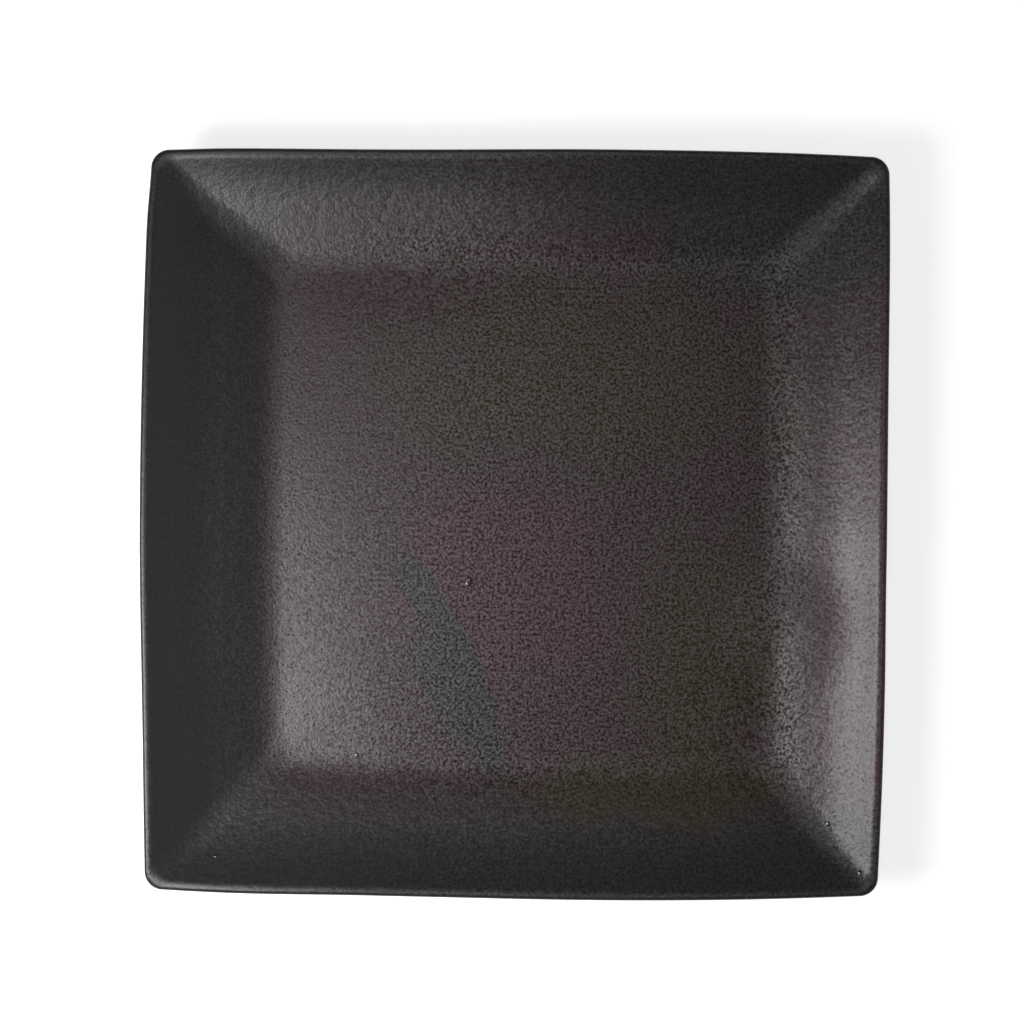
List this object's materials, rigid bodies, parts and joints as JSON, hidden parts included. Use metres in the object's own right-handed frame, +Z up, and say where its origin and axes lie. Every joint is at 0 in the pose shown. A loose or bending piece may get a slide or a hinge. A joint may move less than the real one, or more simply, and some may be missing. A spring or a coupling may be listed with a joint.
{
  "type": "square dinner plate",
  "caption": "Square dinner plate in black satin glazed stoneware, with a flat well, a sloping rim with softly mitred corners, a rolled lip and a bare foot ring; it carries a served meal.",
  "frame": {"origin": "centre of the foot ring, on the surface that the plate stands on", "axes": "+Z up, square to the table; +X and +Y point to the middle of two sides, +X to the right and +Y to the top of the picture"},
  "size_m": [0.265, 0.265, 0.025],
  "materials": {
    "bare_stoneware": "unglazed, wiped and fired",
    "black_glaze": "satin, with a fine leathery grain"
  },
  "bodies": {
    "root": {"stoneware_body": "bare_stoneware", "glaze_coat": "black_glaze", "base_glaze": "black_glaze"}
  },
  "joints": []
}
